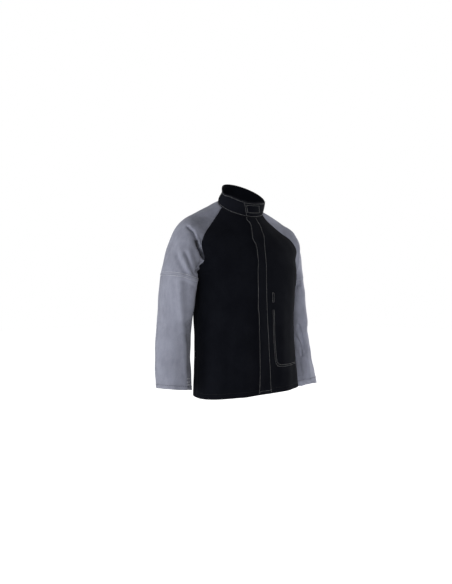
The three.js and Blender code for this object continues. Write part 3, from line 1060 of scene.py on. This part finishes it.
def stitch_tree():
    """Geometry nodes that sew stitches along lines on the cloth."""
    sizes = {"Pitch": "Float", "Stitch length": "Float", "Thread width": "Float"}
    tree, start, end = node_group(
        "Row of stitches",
        "GeometryNodeTree",
        {"Seam lines": "Geometry", **sizes, "Thread": "Material"},
        {"Stitches": "Geometry"},
    )
    curves = add_node(tree, "GeometryNodeMeshToCurve", {"Mesh": start["Seam lines"]})
    steps = add_node(
        tree,
        "GeometryNodeResampleCurve",
        {"Curve": curves.outputs["Curve"], "Length": start["Pitch"]},
        mode="LENGTH",
    )
    upward = add_node(tree, "GeometryNodeInputNamedAttribute", {"Name": "cloth_up"}, data_type="FLOAT_VECTOR")
    heading = add_node(tree, "GeometryNodeInputTangent")
    turn = add_node(
        tree,
        "FunctionNodeAxesToRotation",
        {"Primary Axis": upward.outputs["Attribute"], "Secondary Axis": heading.outputs["Tangent"]},
        primary_axis="Z",
        secondary_axis="X",
    )
    size = add_node(
        tree,
        "ShaderNodeCombineXYZ",
        {"X": start["Stitch length"], "Y": start["Thread width"], "Z": start["Thread width"]},
    )
    stitch = add_node(tree, "GeometryNodeMeshUVSphere", {"Segments": 6, "Rings": 4, "Radius": 0.5})
    sewn = add_node(
        tree,
        "GeometryNodeInstanceOnPoints",
        {
            "Points": steps.outputs["Curve"],
            "Instance": stitch.outputs["Mesh"],
            "Rotation": turn.outputs["Rotation"],
            "Scale": size.outputs["Vector"],
        },
    )
    real = add_node(tree, "GeometryNodeRealizeInstances", {"Geometry": sewn.outputs["Instances"]})
    smooth = add_node(tree, "GeometryNodeSetShadeSmooth", {"Geometry": real.outputs["Geometry"]})
    painted = add_node(
        tree,
        "GeometryNodeSetMaterial",
        {"Geometry": smooth.outputs["Geometry"], "Material": start["Thread"]},
    )
    tree.links.new(painted.outputs["Geometry"], end["Stitches"])
    return tree


def sew(name, tree, lines, material, stitch):
    """One mesh of all the stitches along lines, each given by points and outward directions."""
    pitch, length, width = stitch
    points = []
    upward = []
    edges = []
    for line, normals in lines:
        first = len(points)
        points.extend(((line + normals * width * THREAD_LIFT) * MM).tolist())
        upward.extend(normals.tolist())
        edges.extend((first + i, first + i + 1) for i in range(len(line) - 1))
    mesh = bpy.data.meshes.new(name + "_lines")
    mesh.from_pydata(points, edges, [])
    cloth_up = mesh.attributes.new("cloth_up", "FLOAT_VECTOR", "POINT")
    cloth_up.data.foreach_set("vector", np.array(upward, np.float32).reshape(-1))
    seam_lines = add_object(name + "_lines", mesh)
    sewing = seam_lines.modifiers.new("Stitches", "NODES")
    sewing.node_group = tree
    values = {
        "Pitch": pitch * MM,
        "Stitch length": length * MM,
        "Thread width": width * MM,
        "Thread": material,
    }
    for socket in tree.interface.items_tree:
        if socket.in_out == "INPUT" and socket.name in values:
            sewing[socket.identifier] = values[socket.name]
    graph = bpy.context.evaluated_depsgraph_get()
    stitched = bpy.data.meshes.new_from_object(seam_lines.evaluated_get(graph))
    stitched.name = name
    seam_lines.modifiers.remove(sewing)
    bpy.data.objects.remove(seam_lines)
    return add_object(name, stitched)


# Materials


def calculate(tree, operation, *values):
    """Output of a math node."""
    return add_node(tree, "ShaderNodeMath", dict(enumerate(values)), operation=operation).outputs[0]


def ramp(tree, value, low, high, to_low=0.0, to_high=1.0):
    """A value eased from one range to another."""
    made = add_node(
        tree,
        "ShaderNodeMapRange",
        {"Value": value, "From Min": low, "From Max": high, "To Min": to_low, "To Max": to_high},
        interpolation_type="SMOOTHSTEP",
    )
    return made.outputs[0]


def mix_colour(tree, share, first, second):
    """Colour between two colours."""
    return add_node(tree, "ShaderNodeMix", {0: share, 6: first, 7: second}, data_type="RGBA").outputs[2]


def layer(tree, below, mask, strength, colour):
    """A colour laid over another one as far as a mask and a strength say."""
    return mix_colour(tree, calculate(tree, "MULTIPLY", mask, strength), below, colour)


def relief(tree, height, strength, distance):
    """Normals of a fine relief."""
    made = add_node(tree, "ShaderNodeBump", {"Height": height, "Strength": strength, "Distance": distance})
    return made.outputs["Normal"]


def point_value(tree, name):
    """A value that the mesh carries at its points."""
    return add_node(tree, "ShaderNodeAttribute", attribute_name=name).outputs["Fac"]


def cloth_noise(tree, place, size, detail, roughness=0.55):
    """Noise whose patches are about a size in metres."""
    scale = calculate(tree, "DIVIDE", 1.0, size)
    made = add_node(
        tree,
        "ShaderNodeTexNoise",
        {"Vector": place, "Scale": scale, "Detail": detail, "Roughness": roughness},
    )
    return made.outputs[0]


def mottle_group():
    """Uneven dye and nap: wide patches, and grain of a fine size."""
    tree, start, end = node_group(
        "Uneven dye",
        "ShaderNodeTree",
        {"Place": "Vector", "Patch size": "Float", "Grain size": "Float"},
        {"Patches": "Float", "Grain": "Float"},
    )
    patches = cloth_noise(tree, start["Place"], start["Patch size"], 4.0)
    grain = cloth_noise(tree, start["Place"], start["Grain size"], 3.0, 0.65)
    tree.links.new(ramp(tree, patches, 0.32, 0.68), end["Patches"])
    tree.links.new(ramp(tree, grain, 0.3, 0.7), end["Grain"])
    return tree


def worn_edge_group():
    """Rubbed edges: strongest at an edge and broken up along it."""
    tree, start, end = node_group(
        "Worn edge",
        "ShaderNodeTree",
        {"Place": "Vector", "Edge distance": "Float", "Reach": "Float"},
        {"Wear": "Float"},
    )
    share = calculate(tree, "DIVIDE", start["Edge distance"], start["Reach"])
    near = ramp(tree, share, 0.0, 1.0, 1.0, 0.0)
    broken = ramp(tree, cloth_noise(tree, start["Place"], 0.011, 3.0), 0.35, 0.65, 0.35, 1.0)
    tree.links.new(calculate(tree, "MULTIPLY", near, broken), end["Wear"])
    return tree


def twill_group():
    """Twill weave: slanting ribs, crossed by the threads that make them."""
    tree, start, end = node_group(
        "Twill weave",
        "ShaderNodeTree",
        {"Cloth place": "Vector", "Rib width": "Float"},
        {"Height": "Float"},
    )
    parts = add_node(tree, "ShaderNodeSeparateXYZ", {"Vector": start["Cloth place"]})
    across = calculate(tree, "DIVIDE", parts.outputs["X"], start["Rib width"])
    along = calculate(tree, "DIVIDE", parts.outputs["Y"], start["Rib width"])
    slant = calculate(tree, "ADD", across, along)
    rib = calculate(tree, "PINGPONG", slant, 0.5)
    thread = calculate(tree, "PINGPONG", calculate(tree, "MULTIPLY", along, 2.0), 0.5)
    rib_height = calculate(tree, "MULTIPLY", rib, 1.4)
    thread_height = calculate(tree, "MULTIPLY", thread, 0.6)
    height = calculate(tree, "ADD", rib_height, thread_height)
    tree.links.new(height, end["Height"])
    return tree


MOTTLE = mottle_group()
WORN_EDGE = worn_edge_group()
TWILL = twill_group()


def new_material(name):
    """A material with its shader, and the places that its patterns read."""
    material = bpy.data.materials.new(name)
    material.use_nodes = True
    tree = material.node_tree
    shader = tree.nodes["Principled BSDF"]
    place = add_node(tree, "ShaderNodeTexCoord").outputs["Object"]
    return material, tree, shader, place


def group_node(tree, group, inputs):
    """Outputs of a shared effect, placed in a material with its own values."""
    return add_node(tree, "ShaderNodeGroup", inputs, node_tree=group).outputs


def black_cotton():
    """Heavy black cotton twill, slightly uneven in its dye, with faint lint and rubbed edges."""
    material, tree, shader, place = new_material("black_cotton_twill")
    cloth_place = add_node(tree, "ShaderNodeUVMap", uv_map="cloth_map").outputs["UV"]
    edge = point_value(tree, "edge_mm")
    mottle = group_node(tree, MOTTLE, {"Place": place, "Patch size": 0.07, "Grain size": 0.0016})
    wear = group_node(tree, WORN_EDGE, {"Place": place, "Edge distance": edge, "Reach": 3.0})
    weave = group_node(tree, TWILL, {"Cloth place": cloth_place, "Rib width": 0.0012})

    dye = mix_colour(tree, mottle["Patches"], (0.0053, 0.0057, 0.0083, 1), (0.0077, 0.0083, 0.0116, 1))
    woven = layer(tree, dye, weave["Height"], 0.35, (0.009, 0.010, 0.015, 1))
    lint = ramp(tree, cloth_noise(tree, place, 0.0045, 2.0), 0.70, 0.80, 0.0, 0.25)
    dusty = mix_colour(tree, lint, woven, (0.033, 0.035, 0.042, 1))
    rubbed = layer(tree, dusty, wear["Wear"], 0.22, (0.05, 0.05, 0.056, 1))
    height = calculate(tree, "ADD", weave["Height"], calculate(tree, "MULTIPLY", mottle["Grain"], 0.5))
    set_inputs(tree, shader, {
        "Base Color": rubbed,
        "Roughness": ramp(tree, mottle["Grain"], 0.0, 1.0, 0.82, 0.96),
        "Normal": relief(tree, height, 0.5, 0.00025),
        "Specular IOR Level": 0.04,
        "Specular Tint": (0.75, 0.85, 1.0, 1),
        "Sheen Weight": 0.01,
        "Sheen Roughness": 0.5,
    })
    return material


def grey_leather(name, tone):
    """Grey split leather, its colours scaled by a tone, with a brushed nap, cloudy dye, rubbed edges and
    painted shade that darkens its deep creases; a tone above one gives a lit copy with painted light.
    """
    def shade(red, green, blue):
        return (red * tone, green * tone, blue * tone, 1)

    material, tree, shader, place = new_material(name)
    edge = point_value(tree, "edge_mm")
    mottle = group_node(tree, MOTTLE, {"Place": place, "Patch size": 0.055, "Grain size": 0.0011})
    brushed = add_node(tree, "ShaderNodeMapping", {"Vector": place, "Scale": (1.0, 1.0, 0.35)}).outputs[0]
    nap = group_node(tree, MOTTLE, {"Place": brushed, "Patch size": 0.012, "Grain size": 0.0032})
    wear = group_node(tree, WORN_EDGE, {"Place": place, "Edge distance": edge, "Reach": 5.0})

    dye = mix_colour(tree, mottle["Patches"], shade(0.225, 0.232, 0.285), shade(0.285, 0.295, 0.36))
    stroked = layer(tree, dye, nap["Patches"], 0.35, shade(0.34, 0.35, 0.42))
    fibres = layer(tree, stroked, mottle["Grain"], 0.30, shade(0.16, 0.165, 0.20))
    rubbed = layer(tree, fibres, wear["Wear"], 0.25, shade(0.42, 0.43, 0.49))
    # Painted shade: deep creases are darkened nearly to blue-black, standing in for the shadow in them
    painted_crease_shade = ramp(tree, point_value(tree, "crease_shade_mm"), 5.0, 11.0, 0.0, 0.92)
    crease_shaded = mix_colour(tree, painted_crease_shade, rubbed, shade(0.026, 0.028, 0.042))
    fine = calculate(tree, "ADD", mottle["Grain"], calculate(tree, "MULTIPLY", nap["Grain"], 0.8))
    height = calculate(tree, "ADD", fine, calculate(tree, "MULTIPLY", nap["Patches"], 0.7))
    set_inputs(tree, shader, {
        "Base Color": crease_shaded,
        "Roughness": ramp(tree, nap["Grain"], 0.0, 1.0, 0.84, 0.98),
        "Normal": relief(tree, height, 0.4, 0.0005),
        "Specular IOR Level": 0.15,
        "Sheen Weight": 0.12,
        "Sheen Roughness": 0.6,
    })
    return material


def thread_material(name, light, dark):
    """Spun sewing thread in patches of darker tone, with painted shade between its strands from fine noise.
    """
    material, tree, shader, place = new_material(name)
    strands = group_node(tree, MOTTLE, {"Place": place, "Patch size": 0.02, "Grain size": 0.0006})
    aged = layer(tree, light, strands["Patches"], 0.3, dark)
    # Painted shade: fine noise darkens the thread, standing in for the shade between its strands
    set_inputs(tree, shader, {
        "Base Color": layer(tree, aged, strands["Grain"], 0.6, dark),
        "Roughness": ramp(tree, strands["Grain"], 0.0, 1.0, 0.6, 0.8),
        "Normal": relief(tree, strands["Grain"], 0.4, 0.0002),
    })
    return material


def floor_material():
    """Plain pale studio floor, which the camera sees as white."""
    material, tree, shader, place = new_material("pale_floor")
    cloud = group_node(tree, MOTTLE, {"Place": place, "Patch size": 0.8, "Grain size": 0.05})
    tone = mix_colour(tree, cloud["Patches"], (0.90, 0.90, 0.90, 1), (0.93, 0.93, 0.93, 1))
    set_inputs(tree, shader, {
        "Base Color": tone,
        "Roughness": 0.9,
        "Emission Color": (1, 1, 1, 1),
        "Emission Strength": add_node(tree, "ShaderNodeLightPath").outputs["Is Camera Ray"],
    })
    return material


# The jacket


cotton = black_cotton()
leather_and_lit_copy = {
    RIGHT: grey_leather("grey_split_leather", 1.0),
    # Painted light: the left sleeve's leather is a copy half as bright again, standing in for light that the
    # lamps don't give the far sleeve
    LEFT: grey_leather("grey_split_leather_lit_copy", 1.5),
}
white_thread = thread_material("off_white_thread", (0.42, 0.42, 0.415, 1), (0.22, 0.22, 0.217, 1))
light_grey_thread = thread_material("light_grey_thread", (0.86, 0.87, 0.91, 1), (0.52, 0.53, 0.57, 1))
dark_grey_thread = thread_material("dark_grey_thread", (0.13, 0.13, 0.15, 1), (0.07, 0.07, 0.085, 1))
black_thread = thread_material("black_thread", (0.012, 0.012, 0.014, 1), (0.004, 0.004, 0.005, 1))

fronts = {hand: make_front(hand) for hand in SIDES}
back = make_back()
sleeves = {hand: make_sleeve(hand) for hand in SIDES}
collar = make_collar()
tab = make_tab()
flap = make_flap()
pocket = make_pocket()


def dress(name, cloth, finish, node):
    """Makes a cloth piece in place of its node, and hangs it from the root."""
    piece = cloth_object(name, cloth, finish)
    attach(piece, "root")
    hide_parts(node)


for hand, side in SIDES.items():
    dress(f"{side}_front", fronts[hand], cotton, f"front_{side}")
dress("back_panel", back, cotton, "back")
dress("stand_collar", collar, cotton, "collar")
dress("throat_tab", tab, cotton, "collar_tab")
dress("closure_flap", flap, cotton, "front_flap")
dress("inside_pocket", pocket, cotton, "pocket")
for hand, side in SIDES.items():
    upper, lower = sleeves[hand]
    upper_node = f"sleeve_upper_{side}"
    lower_node = f"sleeve_lower_{side}"
    dress(f"raglan_top_{side}", upper, leather_and_lit_copy[hand], upper_node)
    dress(f"sleeve_{side}", lower, leather_and_lit_copy[hand], lower_node)


# Stitching


def edge_row(cloth, edge, distance):
    """A row of stitches that keeps its distance from a cloth's edge."""
    return on_outside(cloth, *beside_edge(cloth, edge, distance))


def round_row(sleeve, edge, distance):
    """The same round a sleeve, led back to its start."""
    line, normals = edge_row(sleeve, edge, distance)
    return np.vstack([line, line[:1]]), np.vstack([normals, normals[:1]])


def pocket_rows():
    """Rows of the pocket on the left front, as x and z: a short tack and a turned-back double row."""
    rows = [dense_line([(51, -338), (58, -338), (58, -373), (51, -373), (51, -338)], TIGHT_STEP)]
    for inset in (0.0, 6.0):
        front = [(53, -402), (53, -470), (55, -530), (59, -588 + inset * 0.4)]
        bend = [(62, -602 + inset * 0.9), (68, -611 + inset), (78, -615 + inset)]
        bottom = [(120, -617 + inset), (176, -617 + inset)]
        inner = [(x + inset, z) for x, z in front + bend]
        rows.append(dense_line(inner + bottom, LONG_STEP))
    return rows


def cuff_tack(sleeve, distance):
    """A short row of stitches across a sleeve's front, at a distance above the cuff."""
    points, normals = edge_row(sleeve, "last", distance)
    outwards = np.abs(points[:, 0])
    chosen = (outwards < TACK_OUTER_X) & (outwards > TACK_INNER_X) & (normals[:, 1] < 0)
    return points[chosen], normals[chosen]


white_lines = [
    edge_row(flap, "first", FLAP_SIDE_ROW),
    edge_row(flap, "last", FLAP_SIDE_ROW),
    edge_row(flap, "start", FLAP_BOTTOM_ROW),
    edge_row(collar, "end", COLLAR_TOP_ROW),
    edge_row(collar, "start", COLLAR_BOTTOM_ROW),
]
for row in TAB_ROWS:
    white_lines.append(on_outside(tab, *tab_places(tab, dense_line(row, TIGHT_STEP))))
for row in pocket_rows():
    white_lines.append(on_outside(fronts[LEFT], *front_places(fronts[LEFT], row)))

seam_lines = []
cuff_lines = []
for hand, (upper, lower) in sleeves.items():
    above, below = ARM_SEAM_ROWS[hand]
    seam_lines.append(round_row(upper, "last", above))
    seam_lines.append(round_row(lower, "first", below))
    cuff_lines.append(round_row(lower, "last", CUFF_ROW[hand]))
right_lower = sleeves[RIGHT][1]
tack_lines = [cuff_tack(right_lower, distance) for distance in TACK_ROWS]
black_lines = [edge_row(panel, "start", HEM_ROW) for panel in (*fronts.values(), back)]

stitching = stitch_tree()
SEWN = (
    ("off_white_stitches", white_lines, white_thread, SEAM_STITCH, "black_cotton"),
    ("seam_stitches", seam_lines, light_grey_thread, SEAM_STITCH, "grey_split_leather"),
    ("cuff_stitches", cuff_lines, dark_grey_thread, CUFF_STITCH, "grey_split_leather"),
    ("cuff_tack", tack_lines, light_grey_thread, BAR_TACK, "grey_split_leather"),
    ("black_stitches", black_lines, black_thread, SEAM_STITCH, "black_cotton"),
)
for name, lines, thread, stitch, slot in SEWN:
    stitches = sew(name, stitching, lines, thread, stitch)
    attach(stitches, "root")


# Floor, light and camera

FLOOR_Z = -1.25
FLOOR_RADIUS = 9.0
FLOOR_CORNERS = 64
SURROUNDINGS = 0.09
# Lamps: metres to the left of the jacket's middle, towards the camera and up, power and colour
JACKET_MIDDLE = (0, 0, -0.33)
LAMP_SIZE = 1.8
LAMPS = (
    ("key_light", 2.68, 0.72, 0.39, 52, (0.97, 0.98, 1.0)),
    ("front_light", 0.15, 2.77, 0.45, 30, (0.97, 0.98, 1.0)),
    ("rim_light", -2.4, -1.39, 0.39, 46, (1.0, 1.0, 1.0)),
)
# Camera: its turn and place, and its lens and axis in the photograph's pixels
VIEW_ANGLE = math.radians(33)
CAMERA_PLACE = (-1.0294, -1.5851, -0.305)
SENSOR_WIDTH = 36
FOCAL_PIXELS = 480.0
PHOTO_WIDTH = 452
PHOTO_HEIGHT = 584
AXIS_X = 240.3
AXIS_Y = 284.0


def add_floor():
    mesh = bpy.data.meshes.new("floor")
    turns = np.linspace(0, 2 * math.pi, FLOOR_CORNERS, endpoint=False)
    rim = [(FLOOR_RADIUS * math.cos(a), FLOOR_RADIUS * math.sin(a), FLOOR_Z) for a in turns]
    mesh.from_pydata(rim, [], [list(range(FLOOR_CORNERS))])
    mesh.materials.append(floor_material())
    floor = add_object("floor", mesh)


def add_soft_light(name, left, towards, up, power, colour):
    """A large soft lamp that faces the jacket's middle, placed as the camera sees it."""
    to_left = Vector((-math.cos(VIEW_ANGLE), math.sin(VIEW_ANGLE), 0))
    to_camera = Vector((-math.sin(VIEW_ANGLE), -math.cos(VIEW_ANGLE), 0))
    offset = to_left * left + to_camera * towards + Vector((0, 0, up))
    lamp = bpy.data.lights.new(name, "AREA")
    lamp.size = LAMP_SIZE
    lamp.energy = power
    lamp.color = colour
    light = add_object(name, lamp)
    light.location = Vector(JACKET_MIDDLE) + offset
    light.rotation_euler = (-offset).to_track_quat("-Z", "Y").to_euler()


def add_surroundings(brightness):
    """Even white surroundings: seen as white, and lighting the jacket softly."""
    world = bpy.data.worlds.new("studio")
    world.use_nodes = True
    tree = world.node_tree
    tree.nodes.clear()
    rays = add_node(tree, "ShaderNodeLightPath")
    seen = add_node(tree, "ShaderNodeBackground", {"Color": (1, 1, 1, 1), "Strength": 1.0})
    lighting = add_node(tree, "ShaderNodeBackground", {"Color": (1, 1, 1, 1), "Strength": brightness})
    both = add_node(
        tree,
        "ShaderNodeMixShader",
        {0: rays.outputs["Is Camera Ray"], 1: lighting.outputs[0], 2: seen.outputs[0]},
    )
    add_node(tree, "ShaderNodeOutputWorld", {"Surface": both.outputs[0]})
    bpy.context.scene.world = world


def add_camera():
    lens = bpy.data.cameras.new("camera")
    lens.sensor_width = SENSOR_WIDTH
    lens.lens = FOCAL_PIXELS * SENSOR_WIDTH / PHOTO_HEIGHT
    lens.shift_x = (PHOTO_WIDTH / 2 - AXIS_X) / PHOTO_HEIGHT
    lens.shift_y = (AXIS_Y - PHOTO_HEIGHT / 2) / PHOTO_HEIGHT
    camera = add_object("camera", lens)
    camera.location = CAMERA_PLACE
    camera.rotation_euler = (math.pi / 2, 0, -VIEW_ANGLE)
    bpy.context.scene.camera = camera


add_floor()
add_surroundings(SURROUNDINGS)
for lamp in LAMPS:
    add_soft_light(*lamp)
add_camera()
bpy.context.scene.view_settings.view_transform = "Standard"
